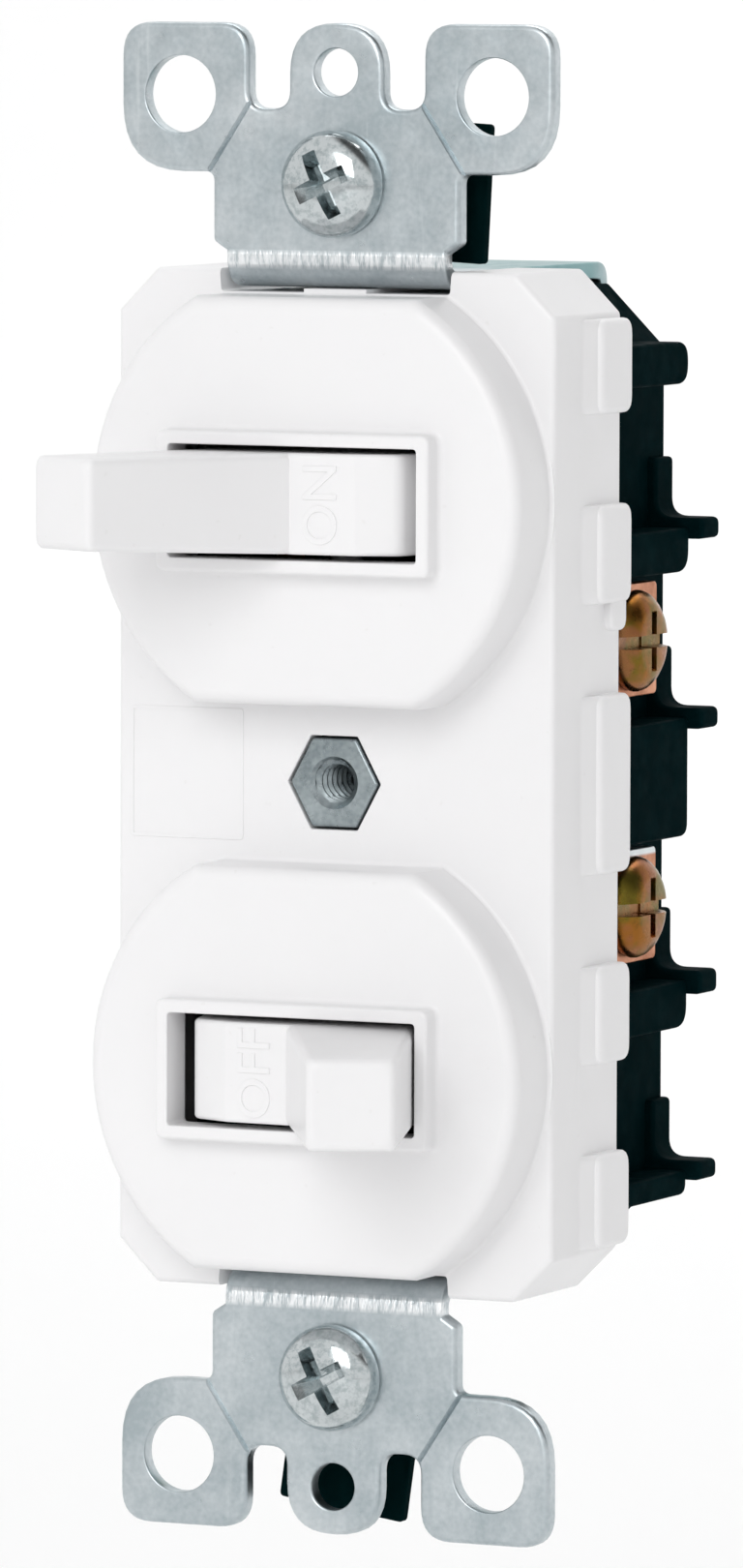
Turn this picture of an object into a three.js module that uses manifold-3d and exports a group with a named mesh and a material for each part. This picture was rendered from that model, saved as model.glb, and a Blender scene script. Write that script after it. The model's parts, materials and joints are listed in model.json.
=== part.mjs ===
// Combination wall switch: two toggles in one duplex-style body, on a wrap-around mounting strap.
//
// Units are millimetres. +X is to the right, +Y goes into the wall and +Z is up. The origin is the
// device's centre on the mounting plane, which is the rear face of the strap's ears.

import * as THREE from 'three';
import { mergeVertices } from 'three/addons/utils/BufferGeometryUtils.js';
import Module from 'manifold-3d';

const wasm = await Module();
wasm.setup();

// ---------------------------------------------------------------- driving dimensions

const CLEARANCE = 0.3;            // gap left between pieces that touch
const ARC_STEPS = 4;              // straight steps in each small curve of an outline
const WIDE_ARC_STEPS = 7;         // the same for the curves that show most
const ROUND_STEPS = 24;           // sides of a hole or small round
const SCREW_STEPS = 18;           // sides of a screw

const STRAP_THICKNESS = 1.25;
const STRAP_FRONT = -STRAP_THICKNESS;
const STRAP_TOP = 52.8;           // half the strap's length
const EAR_HALF_WIDTH = 16.6;
const SCREW_SPACING = 83.34;      // between the two mounting screws, as every device box has it
const SCREW_Z = SCREW_SPACING / 2;

const COVER_HALF_WIDTH = 16.8;
const COVER_HALF_HEIGHT = 35.7;
const COVER_CORNER = 3;
const COVER_REAR = 9.75;
const COVER_WALL = 1.5;
const COVER_FRONT_WALL = 2;

const FACE_Z = 19.8;              // height of each switch above or below the centre
const FACE_RADIUS = 16.5;
const FACE_HALF_FLAT = 14.15;
const FACE_FRONT = -6.6;
const FACE_WALL = 1.2;

const WINDOW_HALF_WIDTH = 9.5;
const WINDOW_HALF_HEIGHT = 3.95;
const RIM_WALL = 0.95;
const RIM_FRONT = -8.3;

const PIVOT_Y = 1.6;              // the toggles' axis
const TILT = THREE.MathUtils.degToRad(25.5);
const TOGGLE_HALF_HEIGHT = 3.5;
const TRUNNION_RADIUS = 1.5;
const TRUNNION_END = 5.5;

const ROCKER_Y = 8.75;            // the rockers' axis
const ROCKER_TILT = TILT / 4;
const ROCKER_PIN_RADIUS = 0.9;
const RUNNING = 0.05;             // radial clearance of a running fit

const BASE_HALF_WIDTH = 12.8;
const BASE_HALF_HEIGHT = 34.1;
const BASE_CORNER = 4.4;
const BASE_FRONT = COVER_REAR + CLEARANCE;
const BASE_REAR = 26.5;
const CHAMBER_HALF_WIDTH = 10.8;
const CHAMBER_FLOOR = 23.8;

const WRAP_INNER_Z = BASE_HALF_HEIGHT + CLEARANCE;
const WRAP_OUTER_Z = WRAP_INNER_Z + STRAP_THICKNESS;
const WRAP_REAR = 27.4;
const WRAP_HALF_WIDTH = 7.9;
const NECK_HALF_WIDTH = 8.4;
const CHANNEL_HALF_WIDTH = WRAP_HALF_WIDTH + CLEARANCE;

const TERMINAL_Y = 15.9;
const TERMINAL_Z = 9.4;
const PLATE_OUTER_X = 14.9;
const PLATE_THICKNESS = 0.8;
const PLATE_FRONT = 10.5;

const POST_ACROSS_FLATS = 6.2;

// ---------------------------------------------------------------- materials

const finish = (color, roughness, metalness) =>
  new THREE.MeshStandardMaterial({ color, roughness, metalness });

const ZINC = finish(0xb2bcc0, 0.35, 1);
const WHITE = finish(0xf2f1f2, 0.4, 0);
const BLACK = finish(0x10191c, 0.5, 0);
const FIBRE = finish(0x0a1516, 0.8, 0);
const BRASS = finish(0xa8853c, 0.3, 1);
const COPPER = finish(0xc87e5a, 0.35, 1);
const SILVER = finish(0xd8d8d6, 0.3, 1);
const SPRING_STEEL = finish(0x8f9498, 0.35, 1);
const NYLON = finish(0xe3dfd2, 0.5, 0);
const GREEN = finish(0x2f7a46, 0.4, 1);

// ---------------------------------------------------------------- solids

function solid(geometry) {
  const bare = geometry.index ? geometry.toNonIndexed() : geometry;
  bare.deleteAttribute('normal');
  bare.deleteAttribute('uv');
  const merged = mergeVertices(bare, 1e-4);
  const vertProperties = new Float32Array(merged.attributes.position.array);
  const triVerts = new Uint32Array(merged.index.array);
  return new wasm.Manifold(new wasm.Mesh({ numProp: 3, vertProperties, triVerts }));
}

function join(solids) {
  return solids.reduce((whole, next) => whole.add(next));
}

function cut(whole, solids) {
  return solids.reduce((rest, next) => rest.subtract(next), whole);
}

function geometryOf(manifold) {
  const { vertProperties, triVerts, numProp } = manifold.getMesh();
  const geometry = new THREE.BufferGeometry();
  geometry.setAttribute('position', new THREE.BufferAttribute(vertProperties, numProp));
  geometry.setIndex(new THREE.BufferAttribute(triVerts, 1));
  geometry.computeVertexNormals();
  return geometry;
}

function piece(name, manifold, material) {
  const mesh = new THREE.Mesh(geometryOf(manifold), material.clone());
  mesh.name = name;
  return mesh;
}

const extrusion = (shape, depth, curveSegments = ARC_STEPS) =>
  new THREE.ExtrudeGeometry(shape, { depth, bevelEnabled: false, curveSegments });

// An outline drawn in X and Z, filled from y0 back to y1.
function frontPrism(shape, y0, y1, steps = ARC_STEPS) {
  return solid(extrusion(shape, y1 - y0, steps).rotateX(Math.PI / 2).translate(0, y1, 0));
}

// An outline drawn in Y and Z, filled between two values of X.
function sidePrism(shape, x0, x1) {
  const low = Math.min(x0, x1);
  const turn = new THREE.Matrix4().makeBasis(
    new THREE.Vector3(0, 1, 0),
    new THREE.Vector3(0, 0, 1),
    new THREE.Vector3(1, 0, 0),
  );
  return solid(extrusion(shape, Math.abs(x1 - x0)).applyMatrix4(turn).translate(low, 0, 0));
}

// An outline drawn in X and Y, filled between two values of Z.
function topPrism(shape, z0, z1) {
  return solid(extrusion(shape, z1 - z0).translate(0, 0, z0));
}

function box(x0, x1, y0, y1, z0, z1) {
  const geometry = new THREE.BoxGeometry(Math.abs(x1 - x0), y1 - y0, z1 - z0);
  return solid(geometry.translate((x0 + x1) / 2, (y0 + y1) / 2, (z0 + z1) / 2));
}

// A round of revolution about Y, from [radius, y] pairs that start and end on the axis.
function turned(profile, steps = ROUND_STEPS) {
  const points = profile.map(([radius, y]) => new THREE.Vector2(radius, y));
  return solid(new THREE.LatheGeometry(points, steps));
}

// A plain round along Y.
function rod(radius, y0, y1, x = 0, z = 0, steps = ROUND_STEPS) {
  return turned([[0, y0], [radius, y0], [radius, y1], [0, y1]], steps).translate([x, 0, z]);
}

// ---------------------------------------------------------------- outlines

function polygon(points) {
  const shape = new THREE.Shape();
  points.forEach(([a, b], i) => (i === 0 ? shape.moveTo(a, b) : shape.lineTo(a, b)));
  shape.closePath();
  return shape;
}

// A polygon whose corners are rounded: each point is [a, b, radius], and no radius is sharp.
function rounded(points) {
  const shape = new THREE.Shape();
  const count = points.length;
  points.forEach(([a, b, radius = 0], i) => {
    const corner = new THREE.Vector2(a, b);
    const before = new THREE.Vector2(...points[(i + count - 1) % count].slice(0, 2)).sub(corner);
    const after = new THREE.Vector2(...points[(i + 1) % count].slice(0, 2)).sub(corner);
    const half = Math.abs(before.angleTo(after)) / 2;
    const reach = radius / Math.tan(half);
    const start = before.setLength(reach).add(corner);
    const end = after.setLength(reach).add(corner);
    if (i === 0) shape.moveTo(start.x, start.y);
    else shape.lineTo(start.x, start.y);
    if (radius > 0) shape.quadraticCurveTo(a, b, end.x, end.y);
  });
  shape.closePath();
  return shape;
}

function rectangle(halfA, halfB, radius = 0, b = 0) {
  return rounded([
    [-halfA, b - halfB, radius],
    [halfA, b - halfB, radius],
    [halfA, b + halfB, radius],
    [-halfA, b + halfB, radius],
  ]);
}

// A rectangle with its four corners cut off at 45 degrees.
function chamfered(halfA, halfB, corner) {
  const a = halfA - corner;
  const b = halfB - corner;
  return polygon([
    [-a, -halfB], [a, -halfB], [halfA, -b], [halfA, b],
    [a, halfB], [-a, halfB], [-halfA, b], [-halfA, -b],
  ]);
}

// A round face with its top and bottom cut flat, centred at height z.
function dFace(radius, halfFlat, z) {
  const reach = Math.asin(halfFlat / radius);
  const shape = new THREE.Shape();
  shape.absarc(0, z, radius, -reach, reach, false);
  shape.absarc(0, z, radius, Math.PI - reach, Math.PI + reach, false);
  shape.closePath();
  return shape;
}

function hexagon(acrossFlats) {
  const radius = acrossFlats / Math.sqrt(3);
  return polygon(Array.from({ length: 6 }, (_, i) => {
    const angle = (i * Math.PI) / 3;
    return [radius * Math.cos(angle), radius * Math.sin(angle)];
  }));
}

// ---------------------------------------------------------------- mounting strap

const PLATE_HALF_WIDTH = 9.5;
const EAR_INNER_X = 6.72;
const EAR_BOTTOM = 42.4;
const EAR_HOLE = { x: 12, z: 47.8, radius: 2.7 };
const TAB_HALF_WIDTH = 3.65;
const TAB_HOLE = { z: 49.4, radius: 1.66 };
const SLOT_BOTTOM = 46.85;
const BEND_OUTER = 2.4;
const REAR_BEND_OUTER = 1.6;

// The flat above the body: plate, two ears and the round-ended tab between them.
function endPlateOutline(end) {
  const bend = WRAP_INNER_Z + BEND_OUTER;
  const rightHalf = [
    [NECK_HALF_WIDTH, bend - 0.5, 0],
    [NECK_HALF_WIDTH, bend + 0.1, 0.2],
    [PLATE_HALF_WIDTH, bend + 0.8, 0.3],
    [PLATE_HALF_WIDTH, EAR_BOTTOM, 0.7],
    [EAR_HALF_WIDTH, EAR_BOTTOM, 4.7],
    [EAR_HALF_WIDTH, STRAP_TOP, 2.3],
    [EAR_INNER_X, STRAP_TOP, 2.3],
    [EAR_INNER_X, SLOT_BOTTOM, 1.3],
    [TAB_HALF_WIDTH, SLOT_BOTTOM, 1.3],
    [TAB_HALF_WIDTH, STRAP_TOP, 3.5],
  ];
  const leftHalf = rightHalf.map(([x, z, radius]) => [-x, z, radius]).reverse();
  return rounded([...rightHalf, ...leftHalf].map(([x, z, radius]) => [x, end * z, radius]));
}

// Half of the wrap seen from the side: one bend behind the ears, and one at the rear.
function wrapHalfOutline(end) {
  const bend = WRAP_INNER_Z + BEND_OUTER;
  const inner = BEND_OUTER - STRAP_THICKNESS;
  const rearInner = REAR_BEND_OUTER - STRAP_THICKNESS;
  return rounded([
    [STRAP_FRONT, bend + 0.6, 0],
    [STRAP_FRONT, WRAP_INNER_Z, BEND_OUTER],
    [WRAP_REAR - STRAP_THICKNESS, WRAP_INNER_Z, rearInner],
    [WRAP_REAR - STRAP_THICKNESS, -1, 0],
    [WRAP_REAR, -1, 0],
    [WRAP_REAR, WRAP_OUTER_Z, REAR_BEND_OUTER],
    [0, WRAP_OUTER_Z, inner],
    [0, bend + 0.6, 0],
  ].map(([y, z, radius]) => [y, end * z, radius]));
}

const GROUND_WING = { x: 16.2, y0: 15.7, y1: 23.3 };
const GROUND_SCREW = { x: -12.6, y: 19.5 };

function groundWing() {
  const wing = rounded([
    [-WRAP_HALF_WIDTH + 1, GROUND_WING.y0, 0],
    [-GROUND_WING.x, GROUND_WING.y0, 1],
    [-GROUND_WING.x, GROUND_WING.y1, 1],
    [-WRAP_HALF_WIDTH + 1, GROUND_WING.y1, 0],
  ]);
  const hole = rod(2, -2, 2).rotate([90, 0, 0]);
  return topPrism(wing, -WRAP_OUTER_Z, -WRAP_INNER_Z)
    .subtract(hole.translate([GROUND_SCREW.x, GROUND_SCREW.y, -WRAP_INNER_Z]));
}

// The scored line along which an ear breaks off.
function scoreLine(side, end) {
  const groove = polygon([
    [side * 9.9, end * 42], [side * 10.2, end * 42.2],
    [side * 6.7, end * 47.4], [side * 6.4, end * 47.2],
  ]);
  return frontPrism(groove, STRAP_FRONT - 0.1, STRAP_FRONT + 0.25);
}

function strapEnd(end) {
  const plate = frontPrism(endPlateOutline(end), STRAP_FRONT, 0, WIDE_ARC_STEPS);
  const neck = sidePrism(wrapHalfOutline(end), -NECK_HALF_WIDTH, NECK_HALF_WIDTH);
  const beside = [-1, 1].map((side) => {
    const outer = side * (NECK_HALF_WIDTH + 1);
    const low = end > 0 ? -2 : -WRAP_OUTER_Z - 1;
    const high = end > 0 ? WRAP_OUTER_Z + 1 : 2;
    return box(side * WRAP_HALF_WIDTH, outer, 2.5, WRAP_REAR + 1, low, high);
  });
  const holes = [
    ...[-1, 1].map((side) =>
      rod(EAR_HOLE.radius, -2, 1, side * EAR_HOLE.x, end * EAR_HOLE.z)),
    rod(TAB_HOLE.radius, -2, 1, 0, end * TAB_HOLE.z),
    frontPrism(rectangle(2.6, 1.95, 1.9, end * SCREW_Z), -2, 1),
    ...[-1, 1].map((side) => scoreLine(side, end)),
  ];
  return cut(join([plate, cut(neck, beside)]), holes);
}

function mountingStrap() {
  const postHole = rod(2.15, WRAP_REAR - 2, WRAP_REAR + 1);
  return cut(join([strapEnd(1), strapEnd(-1), groundWing()]), [postHole]);
}

// ---------------------------------------------------------------- front cover

const TAB_RANGES = [[-32.4, -25.8], [-19.5, -12.6], [-6.25, 6.25], [12.6, 19.5], [25.8, 32.4]];
const TAB_OUTER_X = 17.85;

// The bumps along each side that hold the cover's snap pockets: a sloped front, and round corners.
function coverTab(side, [z0, z1]) {
  const section = polygon([
    [side * (COVER_HALF_WIDTH - 0.5), 2.9],
    [side * COVER_HALF_WIDTH, 2.9],
    [side * TAB_OUTER_X, 5.1],
    [side * TAB_OUTER_X, COVER_REAR],
    [side * (COVER_HALF_WIDTH - 0.5), COVER_REAR],
  ]);
  const outline = rounded([
    [2.9, z0, 1], [COVER_REAR, z0, 0.9], [COVER_REAR, z1, 0.9], [2.9, z1, 1],
  ]);
  return topPrism(section, z0, z1).intersect(
    sidePrism(outline, side * (COVER_HALF_WIDTH - 1), side * (TAB_OUTER_X + 1)));
}

// The small lug under one of the right-hand bumps.
function coverLug() {
  const outline = rounded([[7.2, 13, 0], [7.2, 10.6, 0.9], [COVER_REAR, 10.6, 0.9], [COVER_REAR, 13, 0]]);
  return sidePrism(outline, COVER_HALF_WIDTH - 0.5, COVER_HALF_WIDTH + 0.6);
}

// The clearance for the strap's neck, at the top or bottom edge.
function strapNotch(end) {
  const notch = rounded([
    [-8.8, end * 34.1, 0.3],
    [8.8, end * 34.1, 0.3],
    [9, end * 37, 0],
    [-9, end * 37, 0],
  ]);
  return frontPrism(notch, STRAP_FRONT - 1, COVER_REAR + 1);
}

function frontCover() {
  const body = frontPrism(
    chamfered(COVER_HALF_WIDTH, COVER_HALF_HEIGHT, COVER_CORNER), STRAP_FRONT, COVER_REAR);
  const cavity = frontPrism(
    chamfered(COVER_HALF_WIDTH - COVER_WALL, 32.4, 2.4),
    STRAP_FRONT + COVER_FRONT_WALL, COVER_REAR + 1);
  const added = [coverLug()];
  const removed = [cavity, frontPrism(hexagon(POST_ACROSS_FLATS + 0.6), -3, 3)];
  for (const end of [-1, 1]) {
    const z = end * FACE_Z;
    added.push(frontPrism(
      dFace(FACE_RADIUS, FACE_HALF_FLAT, z), FACE_FRONT, STRAP_FRONT + 0.5, WIDE_ARC_STEPS));
    added.push(frontPrism(
      rectangle(WINDOW_HALF_WIDTH + RIM_WALL, WINDOW_HALF_HEIGHT + RIM_WALL, 0.3, z),
      RIM_FRONT, FACE_FRONT + 0.5));
    removed.push(frontPrism(
      dFace(FACE_RADIUS - COVER_WALL, FACE_HALF_FLAT - COVER_WALL, z),
      FACE_FRONT + FACE_WALL, 2));
    removed.push(frontPrism(
      rectangle(WINDOW_HALF_WIDTH, WINDOW_HALF_HEIGHT, 0.2, z), RIM_FRONT - 1, 0));
    removed.push(strapNotch(end));
    for (const range of TAB_RANGES) added.push(coverTab(end, range));
  }
  return cut(join([body, ...added]), removed);
}

// ---------------------------------------------------------------- rear base

const BARRIER_X = 16;
const FIN_X = 17.1;
const FIN_FRONT = 23.5;
// The barriers down each side: a fin's top and bottom, and the foot of the block under it.
const BARRIERS = [
  { top: 17.7, fin: 16.2, foot: 13.9, corner: 1.6 },
  { top: 4.2, fin: 2.7, foot: -4.9, corner: 1 },
  { top: -14.5, fin: -16.2, foot: -18.5, corner: 1.6 },
  { top: -28.1, fin: -29.5, foot: -30.5, corner: 0.9 },
];
const CRADLE_INNER = TOGGLE_HALF_HEIGHT + 0.35;
const CRADLE_OUTER = CRADLE_INNER + 1.6;
const CHAMBER_Z = [6.3, 29.5];

// The fin at the rear edge, with the low ridge that runs into it from above.
function barrierFin(side, { top, fin }) {
  const outline = rounded([
    [side * 12, top + 4.2, 0],
    [side * 13.5, top + 4.2, 0.4],
    [side * 13.5, top, 1.1],
    [side * FIN_X, top, 0.6],
    [side * FIN_X, fin, 0.6],
    [side * 12, fin, 0],
  ]);
  return frontPrism(outline, FIN_FRONT, BASE_REAR);
}

function barrierBlock(side, { top, foot, corner }) {
  const outline = rounded([
    [BASE_FRONT, top - 0.7, 0],
    [BASE_FRONT, foot, 0],
    [FIN_FRONT + 0.2, foot, corner],
    [FIN_FRONT + 0.2, top - 0.7, 0],
  ]);
  return sidePrism(outline, side * 12, side * BARRIER_X);
}

// The round-ended rib near the top of each side.
function topRib(side) {
  const outline = rounded([
    [BASE_FRONT, 27.2, 0],
    [24, 27.2, 1.4],
    [24, 30.2, 1.4],
    [BASE_FRONT, 30.2, 0],
  ]);
  return sidePrism(outline, side * 10, side * 15.8);
}

// The two walls that carry a toggle's trunnions in open half-round seats.
function toggleCradle(z) {
  const front = PIVOT_Y - 1.4;
  const wall = polygon([
    [-4.5, CHAMBER_FLOOR + 0.5], [-4.5, 4], [-3, front], [3, front], [4.5, 4],
    [4.5, CHAMBER_FLOOR + 0.5],
  ]);
  const seat = rod(TRUNNION_RADIUS + RUNNING, -7, 7, 0, 0, 32)
    .rotate([90, 0, 0]).translate([0, PIVOT_Y, z]);
  const mouth = box(-TRUNNION_RADIUS - RUNNING, TRUNNION_RADIUS + RUNNING,
    front - 1, PIVOT_Y, z - 7, z + 7);
  const walls = [-1, 1].map((side) => {
    const near = z + side * CRADLE_INNER;
    const far = z + side * CRADLE_OUTER;
    return topPrism(wall, Math.min(near, far), Math.max(near, far));
  });
  return walls.map((one) => cut(one, [seat, mouth]));
}

function chamber(end) {
  const [near, far] = CHAMBER_Z.map((z) => end * z).sort((a, b) => a - b);
  return box(-CHAMBER_HALF_WIDTH, CHAMBER_HALF_WIDTH, 0, CHAMBER_FLOOR, near, far);
}

// The slots that the terminal plates come out through.
function plateSlot(side, end) {
  const [low, high] = [5.9, 13.1].map((z) => end * z).sort((a, b) => a - b);
  return box(side * 10, side * 14, PLATE_FRONT - 0.25, PLATE_FRONT + PLATE_THICKNESS + 0.25,
    low, high);
}

// The clearance in the side wall for a terminal screw's end.
function screwEntry(side, end) {
  return rod(1.95, -2.5, 2.5).rotate([0, 0, 90])
    .translate([side * BASE_HALF_WIDTH, TERMINAL_Y, end * TERMINAL_Z]);
}

// A push-in wire hole and its release slot, at the back.
function wireEntry(side, end) {
  return [
    rod(1.2, CHAMBER_FLOOR - 1, BASE_REAR + 1, side * 9.7, end * 10, 16),
    box(side * 9.1, side * 10.3, CHAMBER_FLOOR - 1, BASE_REAR + 1,
      end * 13.5 - 1.2, end * 13.5 + 1.2),
  ];
}

function rearBase() {
  const body = frontPrism(
    chamfered(BASE_HALF_WIDTH, BASE_HALF_HEIGHT, BASE_CORNER), BASE_FRONT, BASE_REAR);
  const flange = frontPrism(
    chamfered(COVER_HALF_WIDTH - COVER_WALL - CLEARANCE, 32.1, 2.4), 7.6, BASE_FRONT + 0.15);
  const boss = rod(5.2, STRAP_FRONT + COVER_FRONT_WALL + CLEARANCE, 9, 0, 0, 32);
  const added = [flange, boss];
  const removed = [
    frontPrism(rectangle(CHANNEL_HALF_WIDTH, BASE_HALF_HEIGHT + 1),
      WRAP_REAR - STRAP_THICKNESS - CLEARANCE, BASE_REAR + 1),
  ];
  const cradles = [];
  for (const side of [-1, 1]) {
    added.push(topRib(side));
    for (const barrier of BARRIERS) {
      added.push(barrierFin(side, barrier), barrierBlock(side, barrier));
    }
    removed.push(chamber(side));
    for (const end of [-1, 1]) {
      removed.push(plateSlot(side, end), screwEntry(side, end), ...wireEntry(side, end));
    }
    cradles.push(...toggleCradle(side * FACE_Z));
  }
  const shell = cut(join([body, ...added]), removed);
  const postBore = frontPrism(hexagon(POST_ACROSS_FLATS + 0.6), -2, BASE_REAR + 1);
  return cut(join([shell, ...cradles]), [postBore]);
}

// ---------------------------------------------------------------- centre post

function centrePost() {
  const rear = WRAP_REAR - STRAP_THICKNESS - CLEARANCE - 0.05;
  const hex = frontPrism(hexagon(POST_ACROSS_FLATS), STRAP_FRONT, rear);
  const neck = rod(1.9, rear - 1, WRAP_REAR);
  const tapped = turned([
    [0, STRAP_FRONT - 0.5], [2.25, STRAP_FRONT - 0.5], [1.75, STRAP_FRONT],
    [1.4, STRAP_FRONT + 0.4], [1.4, 11], [0, 12],
  ]);
  return cut(join([hex, neck]), [tapped]);
}

// ---------------------------------------------------------------- toggles

const TIP = 25.7;                 // from the axis to the end of the lever
const TAIL = 2.8;                 // from the axis to the end of the tail

const SHOULDER = -9.25;           // where the lever rises from the drum
const TIP_SHIFT = 0.35;           // the tip stands this much further from the part's middle

// The outline across the axis: lever, drum facets and tail, with the lever along -Y.
function toggleOutline() {
  const half = [
    [3.1, -TIP, 0.7],
    [4.5, SHOULDER, 0.3],
    [8.75, -6.95, 0.8],
    [10.95, -4.6, 1.2],
    [10.4, -1.3, 0.6],
    [3.4, 1.2, 0.4],
    [3.1, TAIL, 0.3],
  ];
  const mirrored = half.map(([x, y, radius]) => [-x, y, radius]).reverse();
  return rounded([...half, ...mirrored]);
}

// The outline along the axis: the lever narrows a little towards its tip.
function toggleTaper(end) {
  const tip = 3.2;
  const middle = end * TIP_SHIFT;
  return rounded([
    [-TIP, middle - tip, 0.5],
    [SHOULDER, -TOGGLE_HALF_HEIGHT, 0],
    [TAIL + 1, -TOGGLE_HALF_HEIGHT, 0],
    [TAIL + 1, TOGGLE_HALF_HEIGHT, 0],
    [SHOULDER, TOGGLE_HALF_HEIGHT, 0],
    [-TIP, middle + tip, 0.5],
  ]);
}

function toggle(end) {
  const body = topPrism(toggleOutline(), -TOGGLE_HALF_HEIGHT - 1, TOGGLE_HALF_HEIGHT + 1)
    .intersect(sidePrism(toggleTaper(end), -12, 12));
  const trunnions = rod(TRUNNION_RADIUS, -TRUNNION_END, TRUNNION_END).rotate([90, 0, 0]);
  const springBore = rod(1.85, -4.7, TAIL + 1);
  return cut(join([body, trunnions]), [springBore]);
}

function plunger() {
  return turned([[0, 0.9], [1.65, 0.9], [1.65, 4.65], [1.45, 5.45], [0.9, 6], [0, 6.2]], 20);
}

// A helix along Y inside the toggle's tail.
class Helix extends THREE.Curve {
  getPoint(t) {
    const turns = 5;
    const angle = t * turns * 2 * Math.PI;
    return new THREE.Vector3(1.3 * Math.cos(angle), -4.3 + 4.8 * t, 1.3 * Math.sin(angle));
  }
}

function toggleSpring() {
  const wire = new THREE.Shape();
  wire.absarc(0, 0, 0.22, 0, 2 * Math.PI, false);
  return solid(new THREE.ExtrudeGeometry(wire, {
    steps: 40, curveSegments: 3, bevelEnabled: false, extrudePath: new Helix(),
  }));
}

// ---------------------------------------------------------------- contacts

const ROCKER_HALF_HEIGHT = 2.4;
const CONTACT_X = 7.3;
const CONTACT_RADIUS = 1.4;
const ARM_Y = -1.8;               // rear face of the rocker's flat ends, from its axis
const ARM_THICKNESS = 0.8;

// A shallow V with flat ends, on a round pin.
function contactRocker() {
  const half = [
    [8.8, ARM_Y - ARM_THICKNESS, 0],
    [8.8, ARM_Y, 0],
    [5.2, ARM_Y, 0],
    [0.9, 0.3, 0],
  ];
  const front = [[5.1, ARM_Y - ARM_THICKNESS, 0], [0, -0.6, 0], [-5.1, ARM_Y - ARM_THICKNESS, 0]];
  const mirrored = half.map(([x, y]) => [-x, y, 0]).reverse();
  const outline = rounded([...half, ...mirrored, ...front.reverse()]);
  const pin = rod(ROCKER_PIN_RADIUS, -3.5, 3.5).rotate([90, 0, 0]);
  return topPrism(outline, -ROCKER_HALF_HEIGHT, ROCKER_HALF_HEIGHT).add(pin);
}

const movingContact = () =>
  turned([[0, ARM_Y + 0.05], [CONTACT_RADIUS, ARM_Y + 0.05], [CONTACT_RADIUS, -0.6],
    [0.7, -0.35], [0, -0.3]]);

const fixedContact = () =>
  turned([[0, PLATE_FRONT - 1.15], [0.7, PLATE_FRONT - 1.1], [CONTACT_RADIUS, PLATE_FRONT - 0.85],
    [CONTACT_RADIUS, PLATE_FRONT - 0.05], [0, PLATE_FRONT - 0.05]]);

// ---------------------------------------------------------------- terminals

// The plate seen from the front: a leg beside the cradle, and a tongue out to the side.
function terminalPlate(side, end) {
  const leg = box(side * 5.4, side * 10.2, PLATE_FRONT, PLATE_FRONT + PLATE_THICKNESS,
    Math.min(end * 6.9, end * 22.2), Math.max(end * 6.9, end * 22.2));
  const tongue = box(side * 10, side * PLATE_OUTER_X, PLATE_FRONT, PLATE_FRONT + PLATE_THICKNESS,
    Math.min(end * 6.9, end * 12.8), Math.max(end * 6.9, end * 12.8));
  const pad = rounded([
    [PLATE_FRONT, end * 6.9, 0],
    [PLATE_FRONT, end * 12.8, 0],
    [12.5, end * 13.4, 0],
    [20.5, end * 13.4, 0.5],
    [20.5, end * 5.4, 0.5],
    [12.5, end * 5.4, 0],
  ]);
  const padPlate = sidePrism(pad, side * (PLATE_OUTER_X - PLATE_THICKNESS), side * PLATE_OUTER_X);
  const hole = rod(1.8, -2, 2).rotate([0, 0, 90])
    .translate([side * PLATE_OUTER_X, TERMINAL_Y, end * TERMINAL_Z]);
  return cut(join([leg, tongue, padPlate]), [hole]);
}

// The left plate goes on to the middle, where two lugs carry the rocker's pin.
function pivotPlate(end) {
  const z = end * FACE_Z;
  const bridge = box(-6, 2.2, PLATE_FRONT, PLATE_FRONT + PLATE_THICKNESS, z - 3.5, z + 3.5);
  const seat = rod(ROCKER_PIN_RADIUS + RUNNING, -5, 5, 0, 0, 32)
    .rotate([90, 0, 0]).translate([0, ROCKER_Y, z]);
  const mouth = box(-ROCKER_PIN_RADIUS - RUNNING, ROCKER_PIN_RADIUS + RUNNING,
    ROCKER_Y - 2, ROCKER_Y, z - 5, z + 5);
  const lugs = [-1, 1].map((side) => {
    const [low, high] = [z + side * 2.8, z + side * 3.5].sort((a, b) => a - b);
    return cut(box(-2.2, 2.2, ROCKER_Y - 0.7, PLATE_FRONT + 0.1, low, high), [seat, mouth]);
  });
  return join([terminalPlate(-1, end), bridge, ...lugs]);
}

// ---------------------------------------------------------------- screws

// A pan head with a slot and a cross, in front of y = 0, and a plain shank behind it.
function panScrew(headRadius, headHeight, shankRadius, length) {
  const screw = turned([
    [0, -headHeight], [headRadius * 0.55, -headHeight], [headRadius * 0.85, -headHeight * 0.78],
    [headRadius, -headHeight * 0.35], [headRadius, 0], [shankRadius, 0],
    [shankRadius, length - 0.8], [shankRadius * 0.55, length], [0, length],
  ], SCREW_STEPS);
  const depth = -headHeight * 0.42;
  const slot = box(-headRadius - 1, headRadius + 1, -headHeight - 1, depth, -0.45, 0.45);
  const cross = box(-0.45, 0.45, -headHeight - 1, depth, -headRadius * 0.62, headRadius * 0.62);
  return cut(screw, [slot, cross]);
}

const MOUNTING_HEAD = { radius: 3.75, height: 2.5 };

function mountingScrew() {
  return panScrew(MOUNTING_HEAD.radius, MOUNTING_HEAD.height, 1.65, 16.3);
}

const terminalScrew = () => panScrew(3.6, 1.8, 1.65, 4.6);
const groundScrew = () => panScrew(3.6, 1.8, 1.75, 3.3);

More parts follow.
